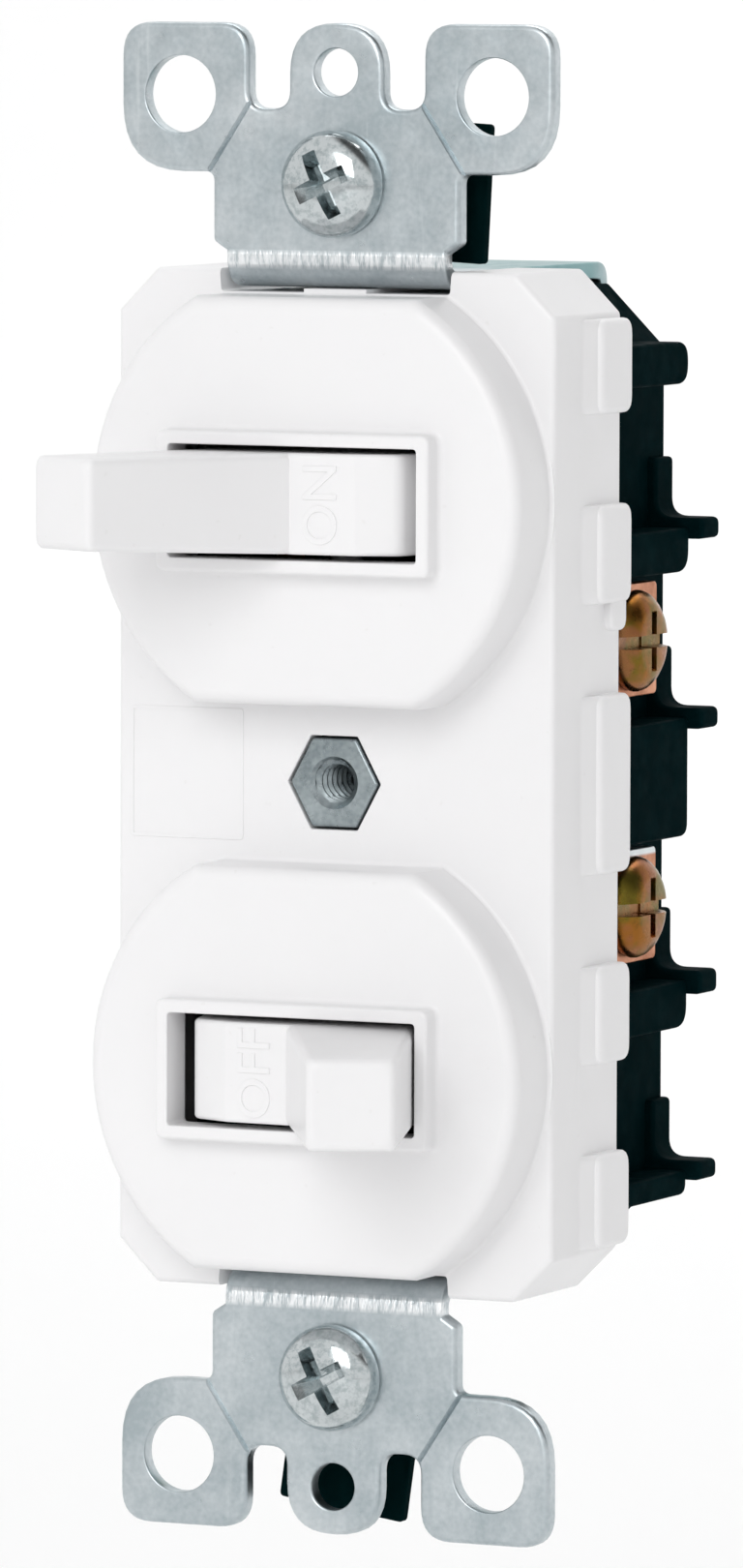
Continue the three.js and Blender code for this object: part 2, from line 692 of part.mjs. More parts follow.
function screwRetainer() {
  const outline = rounded([
    [-5, -5, 0.35], [10.1, -5, 0.35], [10.1, 4.7, 0.35], [-5, 4.7, 0.35],
  ]);
  return cut(frontPrism(outline, 0, 0.8), [rod(1.75, -1, 2)]);
}

// ---------------------------------------------------------------- assembly

const SEAT_GAP = 0.05;            // left under a screw head that is not tightened down

// Everything that belongs to one switch. lean is -1 with its lever to the left, 1 to the right.
function switchMechanism(where, end, lean) {
  const group = new THREE.Group();
  group.position.z = end * FACE_Z;

  const lever = new THREE.Group();
  lever.position.y = PIVOT_Y;
  lever.rotation.z = lean * TILT;
  lever.add(
    piece(`toggle_${where}`, toggle(end), WHITE),
    piece(`plunger_${where}`, plunger(), NYLON),
    piece(`toggle_spring_${where}`, toggleSpring(), SPRING_STEEL),
  );

  const rocker = new THREE.Group();
  rocker.position.y = ROCKER_Y;
  rocker.rotation.z = -lean * ROCKER_TILT;
  const button = piece(`moving_contact_${where}`, movingContact(), SILVER);
  button.position.x = CONTACT_X;
  rocker.add(piece(`contact_rocker_${where}`, contactRocker(), BRASS), button);

  const fixed = piece(`fixed_contact_${where}`, fixedContact(), SILVER);
  fixed.position.x = CONTACT_X;
  group.add(lever, rocker, fixed);
  return group;
}

function terminals(where, end) {
  const group = new THREE.Group();
  group.add(
    piece(`terminal_plate_right_${where}`, terminalPlate(1, end), COPPER),
    piece(`terminal_plate_left_${where}`, pivotPlate(end), COPPER),
  );
  for (const [name, side] of [['right', 1], ['left', -1]]) {
    const screw = piece(`terminal_screw_${name}_${where}`, terminalScrew(), BRASS);
    screw.position.set(side * (PLATE_OUTER_X + SEAT_GAP), TERMINAL_Y, end * TERMINAL_Z);
    screw.rotation.z = (side * Math.PI) / 2;
    group.add(screw);
  }
  return group;
}

// A mounting screw and the loose fibre square on its shank, each turned by an angle in degrees.
function mountingHardware(where, end, screwTurn, retainerTurn, retainerY) {
  const group = new THREE.Group();
  group.position.z = end * SCREW_Z;
  const screw = piece(`mounting_screw_${where}`, mountingScrew(), ZINC);
  screw.position.y = STRAP_FRONT - SEAT_GAP;
  screw.rotation.y = THREE.MathUtils.degToRad(screwTurn);
  const retainer = piece(`screw_retainer_${where}`, screwRetainer(), FIBRE);
  retainer.position.y = retainerY;
  retainer.rotation.y = THREE.MathUtils.degToRad(retainerTurn);
  group.add(screw, retainer);
  return group;
}

function wallSwitch() {
  const group = new THREE.Group();
  group.add(
    piece('mounting_strap', mountingStrap(), ZINC),
    piece('front_cover', frontCover(), WHITE),
    piece('rear_base', rearBase(), BLACK),
    piece('centre_post', centrePost(), ZINC),
    switchMechanism('upper', 1, -1),
    switchMechanism('lower', -1, 1),
    terminals('upper', 1),
    terminals('lower', -1),
    mountingHardware('top', 1, 65, 3, 2.05),
    mountingHardware('bottom', -1, 62, 98, 3.4),
  );
  const ground = piece('ground_screw', groundScrew(), GREEN);
  ground.position.set(GROUND_SCREW.x, GROUND_SCREW.y, -WRAP_OUTER_Z - SEAT_GAP);
  ground.rotation.x = Math.PI / 2;
  group.add(ground);
  return group;
}

export default wallSwitch();
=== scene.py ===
"""Looks for the wall switch with two toggles: materials, rounded edges, threads, marks, camera and light."""

import json
import math

import bmesh
import bpy
from mathutils import Matrix, Vector
from mathutils.geometry import delaunay_2d_cdt


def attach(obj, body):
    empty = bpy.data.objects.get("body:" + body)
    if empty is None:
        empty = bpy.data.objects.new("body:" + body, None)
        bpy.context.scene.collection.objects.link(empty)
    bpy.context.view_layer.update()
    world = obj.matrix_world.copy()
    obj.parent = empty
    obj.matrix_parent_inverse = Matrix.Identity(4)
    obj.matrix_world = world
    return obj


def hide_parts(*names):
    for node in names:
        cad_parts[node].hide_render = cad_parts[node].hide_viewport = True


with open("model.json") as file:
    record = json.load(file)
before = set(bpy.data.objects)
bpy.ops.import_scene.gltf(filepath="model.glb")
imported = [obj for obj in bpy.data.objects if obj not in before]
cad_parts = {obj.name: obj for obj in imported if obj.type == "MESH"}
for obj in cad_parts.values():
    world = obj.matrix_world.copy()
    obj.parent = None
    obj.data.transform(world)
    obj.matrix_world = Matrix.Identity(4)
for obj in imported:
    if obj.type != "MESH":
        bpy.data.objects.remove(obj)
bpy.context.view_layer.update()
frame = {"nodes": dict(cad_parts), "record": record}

MM = 0.001
SHARP_ANGLE = 32
CAP_PRECISION = 1e-7
INSIDE_WITH_HOLES = 2


# ---------------------------------------------------------------- sizes of the CAD part, in millimetres

SHEET = 1.25
STRAP_FRONT = -SHEET
FACE_Z = 19.8
FACE_FRONT = -6.6
RIM_FRONT = -8.3
FACE_RADIUS = 16.5
FACE_HALF_FLAT = 14.15
COVER_SIDE = 16.8
COVER_TOP = 35.7
COVER_REAR = 9.75
PIVOT_Y = 1.6
TILT = math.radians(25.5)
SCREW_Z = 41.67
TERMINAL_Y = 15.9
TERMINAL_Z = 9.4
TERMINAL_X = 14.95
GROUND_SCREW = (-12.6, 19.5, -35.7)
BASE_FRONT = 10.05
BASE_REAR = 26.5


# ---------------------------------------------------------------- material nodes

class Paint:
    """A procedural material under construction, with short names for the nodes that are used often."""

    def __init__(self, name, color, roughness, metallic=0.0, specular=0.5, ior=1.5):
        self.material = bpy.data.materials.new(name)
        self.material.use_nodes = True
        self.tree = self.material.node_tree
        self.shader = self.tree.nodes["Principled BSDF"]
        self.shader.inputs["Base Color"].default_value = (*color, 1)
        self.shader.inputs["Roughness"].default_value = roughness
        self.shader.inputs["Metallic"].default_value = metallic
        self.shader.inputs["Specular IOR Level"].default_value = specular
        self.shader.inputs["IOR"].default_value = ior
        self.place = self.tree.nodes.new("ShaderNodeTexCoord").outputs["Object"]
        self.height = None

    def node(self, kind, **inputs):
        node = self.tree.nodes.new(kind)
        for key, value in inputs.items():
            self.put(node.inputs[key.replace("_", " ")], value)
        return node

    def put(self, socket, value):
        if isinstance(value, bpy.types.NodeSocket):
            self.tree.links.new(value, socket)
        else:
            socket.default_value = value

    def stretched(self, scale):
        node = self.node("ShaderNodeMapping", Vector=self.place)
        node.inputs["Scale"].default_value = scale
        return node.outputs["Vector"]

    def noise(self, scale, detail=2.0, stretch=(1, 1, 1), rough=0.5):
        node = self.node("ShaderNodeTexNoise", Vector=self.stretched(stretch))
        node.inputs["Scale"].default_value = scale
        node.inputs["Detail"].default_value = detail
        node.inputs["Roughness"].default_value = rough
        return node.outputs["Fac"]

    def spread(self, value, low, high, to_low=0.0, to_high=1.0):
        node = self.node("ShaderNodeMapRange", Value=value)
        node.inputs["From Min"].default_value = low
        node.inputs["From Max"].default_value = high
        node.inputs["To Min"].default_value = to_low
        node.inputs["To Max"].default_value = to_high
        return node.outputs["Result"]

    def math(self, operation, a, b=0.0):
        node = self.tree.nodes.new("ShaderNodeMath")
        node.operation = operation
        self.put(node.inputs[0], a)
        self.put(node.inputs[1], b)
        return node.outputs[0]

    def mix(self, factor, a, b):
        node = self.tree.nodes.new("ShaderNodeMix")
        node.data_type = "RGBA"
        self.put(node.inputs["Factor"], factor)
        for key, value in (("A", a), ("B", b)):
            socket = next(s for s in node.inputs if s.name == key and s.type == "RGBA")
            self.put(socket, value if isinstance(value, bpy.types.NodeSocket) else (*value, 1))
        return next(s for s in node.outputs if s.type == "RGBA")

    def axis(self, letter):
        return self.node("ShaderNodeSeparateXYZ", Vector=self.place).outputs[letter]

    def band(self, letter, centre, half, soft):
        """1 within half of centre along an axis, falling to 0 over soft, all in millimetres."""
        away = self.math("ABSOLUTE", self.math("SUBTRACT", self.axis(letter), centre * MM))
        return self.spread(away, half * MM, (half + soft) * MM, 1.0, 0.0)

    def color(self, value):
        self.put(self.shader.inputs["Base Color"], value)

    def roughness(self, value):
        self.put(self.shader.inputs["Roughness"], value)

    def bump(self, height, depth_mm, strength=1.0):
        node = self.node("ShaderNodeBump", Height=height)
        node.inputs["Strength"].default_value = strength
        node.inputs["Distance"].default_value = depth_mm * MM
        if self.height is not None:
            self.put(node.inputs["Normal"], self.height)
        self.height = node.outputs["Normal"]
        self.put(self.shader.inputs["Normal"], self.height)


def white_plastic(name):
    paint = Paint(name, (0.83, 0.825, 0.83), 0.36)
    cloud = paint.noise(90, 3)
    speck = paint.spread(paint.noise(1500, 1), 0.74, 0.80)
    tone = paint.mix(cloud, (0.845, 0.84, 0.845), (0.815, 0.81, 0.818))
    paint.color(paint.mix(paint.math("MULTIPLY", speck, 0.12), tone, (0.60, 0.58, 0.55)))
    handled = paint.noise(260, 4, (1, 1, 0.35))
    paint.roughness(paint.spread(handled, 0.3, 0.7, 0.31, 0.44))
    paint.bump(paint.noise(5200, 2), 0.006, 0.6)
    paint.bump(paint.noise(240, 2), 0.03, 0.35)
    return paint.material


def black_moulding(name):
    paint = Paint(name, (0.002, 0.011, 0.013), 0.5, specular=0.5, ior=1.03)
    dust = paint.spread(paint.noise(420, 5, rough=0.7), 0.45, 0.85)
    paint.color(paint.mix(dust, (0.0008, 0.0080, 0.0095), (0.0030, 0.0150, 0.0170)))
    paint.roughness(paint.spread(paint.noise(900, 3), 0.3, 0.7, 0.42, 0.62))
    paint.bump(paint.noise(3600, 3), 0.012, 0.7)
    paint.bump(paint.noise(500, 2), 0.03, 0.4)
    return paint.material


def fibre(name):
    paint = Paint(name, (0.001, 0.006, 0.007), 0.8, specular=0.5, ior=1.06)
    strands = paint.noise(900, 4, (1, 1, 0.3))
    paint.color(paint.mix(strands, (0.0002, 0.0050, 0.0055), (0.001, 0.013, 0.014)))
    paint.bump(strands, 0.03, 0.7)
    paint.bump(paint.noise(5000, 2), 0.01, 0.6)
    return paint.material


def zinc_color(paint, dark, light):
    blotch = paint.noise(160, 4, rough=0.65)
    grain = paint.noise(2600, 2)
    together = paint.math("ADD", paint.math("MULTIPLY", blotch, 0.7), paint.math("MULTIPLY", grain, 0.3))
    return paint.mix(paint.spread(together, 0.36, 0.66), dark, light)


def zinc_sheet(name):
    paint = Paint(name, (0.47, 0.52, 0.54), 0.34, metallic=1.0)
    plain = zinc_color(paint, (0.41, 0.47, 0.495), (0.61, 0.655, 0.675))
    scratch = paint.spread(paint.noise(700, 3, (1, 1, 0.06), 0.7), 0.62, 0.72)
    plain = paint.mix(paint.math("MULTIPLY", scratch, 0.35), plain, (0.74, 0.78, 0.79))
    bend = paint.math("MAXIMUM", paint.band("Z", 36.35, 0.35, 0.35), paint.band("Z", -36.35, 0.35, 0.35))
    drawn = paint.noise(2400, 3, (1, 0.3, 0.16), 0.85)
    # painted highlight: the bends' outer radius made much paler in drawn streaks, for the light it catches,
    # laid over real scratches left by the bending
    bend_highlight_and_scratches = paint.math("MULTIPLY", bend, paint.spread(drawn, 0.40, 0.56))
    # painted shade: the strap made darker and teal from Y 9.5 to 24.5 mm, where it runs back behind the
    # cover beside the black base
    plain = paint.mix(paint.band("Y", 17, 7.5, 4), plain, (0.20, 0.35, 0.36))
    paint.color(paint.mix(bend_highlight_and_scratches, plain, (0.90, 0.92, 0.93)))
    paint.roughness(paint.spread(paint.noise(700, 4), 0.3, 0.7, 0.27, 0.42))
    paint.bump(paint.noise(2300, 3), 0.008, 0.55)
    paint.bump(paint.math("MULTIPLY", bend, drawn), 0.12, 0.9)
    return paint.material


def zinc_part(name):
    paint = Paint(name, (0.32, 0.37, 0.39), 0.3, metallic=1.0)
    paint.color(zinc_color(paint, (0.21, 0.25, 0.265), (0.42, 0.47, 0.485)))
    paint.roughness(paint.spread(paint.noise(1100, 4), 0.3, 0.7, 0.22, 0.40))
    paint.bump(paint.noise(2500, 3), 0.010, 0.6)
    return paint.material


def bright_screw(name):
    paint = Paint(name, (0.60, 0.64, 0.65), 0.14, metallic=1.0)
    mottle = paint.spread(paint.noise(1700, 4, rough=0.7), 0.45, 0.62)
    paint.color(paint.mix(mottle, (0.60, 0.64, 0.65), (0.42, 0.47, 0.48)))
    paint.roughness(paint.spread(paint.noise(1300, 3), 0.35, 0.65, 0.08, 0.20))
    paint.bump(paint.noise(1500, 3), 0.012, 0.6)
    return paint.material


def chromate(name):
    paint = Paint(name, (0.50, 0.32, 0.09), 0.26, metallic=1.0)
    sheen = paint.noise(300, 3, rough=0.6)
    warm = paint.mix(paint.spread(sheen, 0.40, 0.58), (0.15, 0.115, 0.017), (0.29, 0.115, 0.02))
    pink = paint.spread(paint.noise(420, 2), 0.50, 0.62)
    warm = paint.mix(paint.math("MULTIPLY", pink, 0.7), warm, (0.29, 0.11, 0.055))
    stain = paint.spread(paint.noise(1100, 4, rough=0.7), 0.55, 0.72)
    paint.color(paint.mix(paint.math("MULTIPLY", stain, 0.6), warm, (0.09, 0.055, 0.015)))
    paint.roughness(paint.spread(paint.noise(900, 3), 0.3, 0.7, 0.20, 0.38))
    paint.bump(paint.noise(1900, 3), 0.010, 0.6)
    return paint.material


def copper(name):
    paint = Paint(name, (0.60, 0.26, 0.14), 0.36, metallic=1.0)
    blotch = paint.noise(420, 4, rough=0.7)
    bare = paint.mix(paint.spread(blotch, 0.35, 0.65), (0.66, 0.31, 0.18), (0.40, 0.15, 0.07))
    paint.color(paint.mix(paint.band("Z", -4.8, 1.0, 0.2), bare, (0.70, 0.74, 0.75)))
    paint.roughness(paint.spread(paint.noise(1200, 3), 0.3, 0.7, 0.28, 0.48))
    paint.bump(paint.noise(1500, 2, (1, 1, 0.2)), 0.008, 0.6)
    return paint.material


def plain_metal(name, color, roughness):
    paint = Paint(name, color, roughness, metallic=1.0)
    darker = tuple(0.7 * channel for channel in color)
    paint.color(paint.mix(paint.spread(paint.noise(800, 4), 0.35, 0.65), color, darker))
    paint.roughness(paint.spread(paint.noise(1500, 3), 0.3, 0.7, roughness - 0.06, roughness + 0.1))
    paint.bump(paint.noise(2500, 2), 0.006, 0.6)
    return paint.material


def nylon(name):
    paint = Paint(name, (0.72, 0.69, 0.60), 0.5)
    paint.color(paint.mix(paint.noise(600, 3), (0.76, 0.73, 0.65), (0.66, 0.63, 0.53)))
    paint.bump(paint.noise(3000, 2), 0.008, 0.6)
    return paint.material


# ---------------------------------------------------------------- shapes, drawn in millimetres

def corners(points, steps=8):
    """A closed outline from [a, b, radius] corners, counter-clockwise. A radius left out is sharp."""
    outline = []
    count = len(points)
    for i, (a, b, *rest) in enumerate(points):
        corner = Vector((a, b))
        radius = rest[0] if rest else 0
        if radius == 0:
            outline.append(corner)
            continue
        before = (Vector(points[i - 1][:2]) - corner).normalized()
        after = (Vector(points[(i + 1) % count][:2]) - corner).normalized()
        reach = radius / math.tan(before.angle(after) / 2)
        for k in range(steps + 1):
            t = k / steps
            outline.append(
                (corner + before * reach) * (1 - t) ** 2
                + corner * (2 * t * (1 - t))
                + (corner + after * reach) * t ** 2)
    return tidy_outline(outline)


def tidy_outline(outline):
    kept = [point for i, point in enumerate(outline) if (point - outline[i - 1]).length > 0.002]
    area = sum(point.cross(kept[(i + 1) % len(kept)]) for i, point in enumerate(kept))
    return kept if area > 0 else kept[::-1]


def rectangle(half_a, half_b, radius=0.0, at=(0, 0), steps=8):
    a, b = at
    return corners([
        (a - half_a, b - half_b, radius), (a + half_a, b - half_b, radius),
        (a + half_a, b + half_b, radius), (a - half_a, b + half_b, radius)], steps)


def chamfered(half_a, half_b, corner, radius):
    a, b = half_a - corner, half_b - corner
    return corners([
        (-a, -half_b, radius), (a, -half_b, radius), (half_a, -b, radius), (half_a, b, radius),
        (a, half_b, radius), (-a, half_b, radius), (-half_a, b, radius), (-half_a, -b, radius)], 4)


def circle(radius, at=(0, 0), steps=48):
    return [Vector((at[0] + radius * math.cos(2 * math.pi * k / steps),
                    at[1] + radius * math.sin(2 * math.pi * k / steps))) for k in range(steps)]


def d_face(radius, half_flat, z, steps=28):
    reach = math.asin(half_flat / radius)
    angles = [-reach + 2 * reach * k / steps for k in range(steps + 1)]
    right = [Vector((radius * math.cos(a), z + radius * math.sin(a))) for a in angles]
    left = [Vector((-radius * math.cos(a), z - radius * math.sin(a))) for a in angles]
    return right + left


def hexagon(across_flats, radius=0.0):
    reach = across_flats / math.sqrt(3)
    return corners([(0.945 * reach * math.cos(k * math.pi / 3), reach * math.sin(k * math.pi / 3), radius)
                    for k in range(6)], 3)


def inset(outline, distance):
    """The outline moved inwards everywhere by a distance, or outwards by a negative one."""
    moved = []
    for i, point in enumerate(outline):
        before = (point - outline[i - 1]).normalized()
        after = (outline[(i + 1) % len(outline)] - point).normalized()
        first = Vector((-before.y, before.x))
        normal = (first + Vector((-after.y, after.x))).normalized()
        moved.append(point + normal * (distance / max(normal.dot(first), 0.35)))
    return moved


def edge_steps(radius, count=5):
    """[inset, depth] pairs of a rounded edge. A negative radius flares out, as a fillet does."""
    pairs = []
    if radius < 0:
        pairs.append((radius, -0.4))
    if radius == 0:
        return [(0, 0)]
    for k in range(count + 1):
        t = math.pi / 2 * k / count
        pairs.append((radius * (1 - math.sin(t)), abs(radius) * (1 - math.cos(t))))
    return pairs


def new_object(name, mesh):
    piece = bpy.data.objects.new(name, mesh)
    bpy.context.scene.collection.objects.link(piece)
    return piece


def skin(rings, name="solid"):
    """A closed solid through rings that all have the same number of points."""
    mesh = bpy.data.meshes.new(name)
    shape = bmesh.new()
    rows = [[shape.verts.new(point) for point in ring] for ring in rings]
    count = len(rows[0])
    for lower, upper in zip(rows, rows[1:]):
        for i in range(count):
            j = (i + 1) % count
            shape.faces.new((lower[i], lower[j], upper[j], upper[i]))
    caps = [shape.faces.new(rows[0][::-1]), shape.faces.new(rows[-1])]
    shape.normal_update()
    bmesh.ops.triangulate(shape, faces=caps)
    bmesh.ops.recalc_face_normals(shape, faces=shape.faces)
    if shape.calc_volume(signed=True) < 0:
        bmesh.ops.reverse_faces(shape, faces=shape.faces)
    shape.to_mesh(mesh)
    shape.free()
    return new_object(name, mesh)


def prism(outline, low, high, place, edge_low=0.0, edge_high=0.0):
    levels = [(shift, low + depth) for shift, depth in edge_steps(edge_low)]
    levels += [(shift, high - depth) for shift, depth in reversed(edge_steps(edge_high))]
    return skin([[place(a, b, level) for a, b in inset(outline, shift)] for shift, level in levels])


def front(outline, y0, y1, edge_low=0.0, edge_high=0.0):
    """An outline in X and Z, filled from y0 back to y1."""
    return prism(outline, y0, y1, lambda a, b, level: (a, level, b), edge_low, edge_high)


def side(outline, x0, x1, edge_low=0.0, edge_high=0.0):
    """An outline in Y and Z, filled from x0 to x1."""
    return prism(outline, x0, x1, lambda a, b, level: (level, a, b), edge_low, edge_high)


def top(outline, z0, z1, edge_low=0.0, edge_high=0.0):
    """An outline in X and Y, filled from z0 to z1."""
    return prism(outline, z0, z1, lambda a, b, level: (a, b, level), edge_low, edge_high)


def box(x0, x1, y0, y1, z0, z1, edge=0.0):
    x0, x1 = min(x0, x1), max(x0, x1)
    z0, z1 = min(z0, z1), max(z0, z1)
    corner = 1.1 * edge
    outline = corners([(x0, z0, corner), (x1, z0, corner), (x1, z1, corner), (x0, z1, corner)], 4)
    return front(outline, y0, y1, edge, edge)


def turned(profile, steps=40):
    """A solid of revolution about Y, from [radius, y] pairs. The ends are closed by flat caps."""
    rings = [[(radius * math.cos(2 * math.pi * k / steps), y, radius * math.sin(2 * math.pi * k / steps))
              for k in range(steps)] for radius, y in profile]
    return skin(rings)


def split_face(mesh, polygon):
    """Triangles that fill a face of many corners and leave out the holes it winds around."""
    loop = list(polygon.vertices)
    names = sorted(set(loop))
    place = {name: i for i, name in enumerate(names)}
    steepest = max(range(3), key=lambda axis: abs(polygon.normal[axis]))
    a, b = (steepest + 1) % 3, (steepest + 2) % 3
    flat = [Vector((mesh.vertices[name].co[a], mesh.vertices[name].co[b])) for name in names]
    steps = [(place[loop[i - 1]], place[loop[i]]) for i in range(len(loop))]
    rim = [(start, stop) for start, stop in steps if (stop, start) not in steps]
    _, _, triangles, sources, _, _ = delaunay_2d_cdt(flat, rim, [], INSIDE_WITH_HOLES, CAP_PRECISION)
    if len(triangles) != len(loop) - 2 or any(len(source) != 1 for source in sources):
        return [loop]
    filled = [[sources[i][0] for i in triangle] for triangle in triangles]
    walked = {(triangle[i - 1], triangle[i]) for triangle in filled for i in range(3)}
    if all((stop, start) in walked for start, stop in rim):
        filled = [triangle[::-1] for triangle in filled]
    elif not all(step in walked for step in rim):
        return [loop]
    return [[names[i] for i in triangle] for triangle in filled]


def split_faces(mesh):
    faces = []
    for polygon in mesh.polygons:
        faces += split_face(mesh, polygon) if len(polygon.vertices) > 4 else [list(polygon.vertices)]
    split = bpy.data.meshes.new(mesh.name)
    split.from_pydata([vertex.co for vertex in mesh.vertices], [], faces)
    return split


def combined(target, others, operation):
    for other in others:
        step = target.modifiers.new("step", "BOOLEAN")
        step.operation = operation
        step.solver = "MANIFOLD"
        step.object = other
    bpy.context.view_layer.update()
    graph = bpy.context.evaluated_depsgraph_get()
    mesh = bpy.data.meshes.new_from_object(target.evaluated_get(graph), depsgraph=graph)
    target.modifiers.clear()
    target.data = split_faces(mesh)
    for other in others:
        bpy.data.objects.remove(other)
    return target


def joined(first, *others):
    return combined(first, others, "UNION")


def cut(first, *others):
    return combined(first, others, "DIFFERENCE")


def common(first, *others):
    return combined(first, others, "INTERSECT")


def placed(piece, at=(0, 0, 0), about_x=0.0, about_y=0.0, about_z=0.0):
    """Turns a piece, in degrees about one axis, and moves it, in its mesh."""
    turn = (Matrix.Rotation(math.radians(about_x), 4, "X")
            @ Matrix.Rotation(math.radians(about_y), 4, "Y")
            @ Matrix.Rotation(math.radians(about_z), 4, "Z"))
    piece.data.transform(Matrix.Translation(at) @ turn)
    return piece


def finished(piece, node, material, name=None):
    """Brings a piece to metres and puts it in the place of a CAD node."""
    piece.name = name or node + "_shape"
    piece.data.transform(Matrix.Scale(MM, 4))
    piece.data.materials.clear()
    piece.data.materials.append(material)
    shade(piece)
    steady = piece.modifiers.new("steady", "WEIGHTED_NORMAL")
    steady.keep_sharp = True
    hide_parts(node)
    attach(piece, body_of(node))
    return piece


def shade(piece, angle=SHARP_ANGLE):
    for polygon in piece.data.polygons:
        polygon.use_smooth = True
    piece.data.set_sharp_from_angle(angle=math.radians(angle))


def body_of(node):
    bodies = frame["record"]["behaviour"]["bodies"]
    return next(body for body, nodes in bodies.items() if node in nodes)


# ---------------------------------------------------------------- front cover

TAB_RANGES = ((-32.4, -25.8), (-19.5, -12.6), (-6.25, 6.25), (12.6, 19.5), (25.8, 32.4))
TAB_OUTER_X = 17.85
WINDOW = (9.5, 3.95)
RIM_WALL = 0.95
FACE_WALL = 1.2


def cover_tab(direction, low, high):
    """A rounded bump on the cover's side, whose front slopes back as it stands out."""
    levels = [(16.2, 2.9, 0), (COVER_SIDE, 2.9, 0)]
    round_off = 0.45
    for depth_share in (0.25, 0.5, 0.75):
        levels.append((COVER_SIDE + depth_share * (TAB_OUTER_X - COVER_SIDE - round_off),
                       2.9 + depth_share * 1.7, 0))
    for shift, depth in reversed(edge_steps(round_off)):
        levels.append((TAB_OUTER_X - depth, 4.6 + shift * 1.6, shift))
    rings = []
    for x, front_y, shift in levels:
        outline = corners([
            (front_y, low + shift, 1.0), (COVER_REAR - shift, low + shift, 0.9),
            (COVER_REAR - shift, high - shift, 0.9), (front_y, high - shift, 1.0)], 5)
        rings.append([(direction * x, y, z) for y, z in outline])
    return skin(rings)


def cover_face(end):
    z = end * FACE_Z
    face = front(d_face(FACE_RADIUS, FACE_HALF_FLAT, z), FACE_FRONT, STRAP_FRONT, 1.0, -0.3)
    rim = front(
        rectangle(WINDOW[0] + RIM_WALL, WINDOW[1] + RIM_WALL, 0.6, (0, z), 4),
        RIM_FRONT, FACE_FRONT, 0.28, -0.4)
    return [face, rim]


def cover_openings(end):
    z = end * FACE_Z
    inner = front(d_face(FACE_RADIUS - 1.5, FACE_HALF_FLAT - 1.5, z), FACE_FRONT + FACE_WALL, 2)
    window = front(rectangle(*WINDOW, 0.3, (0, z), 4), RIM_FRONT, 0, -0.12)
    notch = front(
        corners([(-8.8, end * 34.1, 0.3), (-2.4, end * 34.1), (-2.4, end * 34.37), (2.4, end * 34.37),
                 (2.4, end * 34.1), (8.8, end * 34.1, 0.3), (9, end * 37), (-9, end * 37)]),
        STRAP_FRONT - 1, COVER_REAR + 1)
    return [inner, window, notch]


def label_panel():
    """The outline of the blank panel on the cover's left, between the two faces."""
    panel = rectangle(4.4, 4.6, 0.3, (-11.4, 0.35), 3)
    y = STRAP_FRONT - 0.07
    raised = front(panel, y, 0, 0.03)
    hollow = front(inset(panel, 0.22), y - 1, STRAP_FRONT)
    return cut(raised, hollow)


def front_cover():
    body = front(chamfered(COVER_SIDE, COVER_TOP, 3, 0.5), STRAP_FRONT, COVER_REAR, 0.45, 0.15)
    lug = side(corners([(7.2, 13), (7.2, 10.6, 0.9), (COVER_REAR, 10.6, 0.9), (COVER_REAR, 13)]),
               COVER_SIDE - 0.5, COVER_SIDE + 0.6, 0, 0.25)
    added = [label_panel(), lug]
    removed = [
        front(chamfered(COVER_SIDE - 1.5, 32.4, 2.4, 0.2), STRAP_FRONT + 2, COVER_REAR + 1),
        front(hexagon(6.56, 0.2), STRAP_FRONT, 3, -0.12),
    ]
    for end in (-1, 1):
        added += cover_face(end)
        removed += cover_openings(end)
        added += [cover_tab(end, low, high) for low, high in TAB_RANGES]
    return cut(joined(body, *added), *removed)


# ---------------------------------------------------------------- mounting strap

WRAP_INNER_Z = 34.4
WRAP_OUTER_Z = 35.65
WRAP_REAR = 27.4
NECK_SIDE = 8.4
WRAP_SIDE = 7.9
BEND_OUTER = 2.4


def end_plate(end):
    bend = WRAP_INNER_Z + BEND_OUTER
    right = [
        (NECK_SIDE, bend - 0.5, 0), (NECK_SIDE, bend + 0.1, 0.2), (9.5, bend + 0.8, 0.5),
        (9.5, 42.4, 0.7), (16.6, 42.4, 4.7), (16.6, 52.8, 2.3), (6.72, 52.8, 2.3),
        (6.72, 46.85, 1.3), (3.65, 46.85, 1.3), (3.65, 52.8, 3.5)]
    left = [(-x, z, radius) for x, z, radius in right][::-1]
    outline = corners([(x, end * z, radius) for x, z, radius in right + left])
    return front(outline, STRAP_FRONT, 0, 0.4, 0.1)


def wrap_outline(end):
    bend = WRAP_INNER_Z + BEND_OUTER
    points = [
        (STRAP_FRONT, bend + 0.6, 0), (STRAP_FRONT, WRAP_INNER_Z, BEND_OUTER),
        (WRAP_REAR - SHEET, WRAP_INNER_Z, 0.35), (WRAP_REAR - SHEET, -1, 0), (WRAP_REAR, -1, 0),
        (WRAP_REAR, WRAP_OUTER_Z, 1.6), (0, WRAP_OUTER_Z, 1.15), (0, bend + 0.6, 0)]
    return corners([(y, end * z, radius) for y, z, radius in points])


def score_line(across, end):
    """The V-shaped groove along which an ear breaks off."""
    rings = []
    for x, z, step in ((10.15, 41.9, -0.3), (6.55, 47.35, 0.3)):
        line = Vector((-3.6, 5.45)).normalized()
        normal = Vector((line.y, -line.x)) * 0.24
        x, z = x + line.x * step, z + line.y * step
        rings.append([
            (across * (x - normal.x), STRAP_FRONT - 0.05, end * (z - normal.y)),
            (across * (x + normal.x), STRAP_FRONT - 0.05, end * (z + normal.y)),
            (across * x, STRAP_FRONT + 0.24, end * z)])
    return skin(rings)


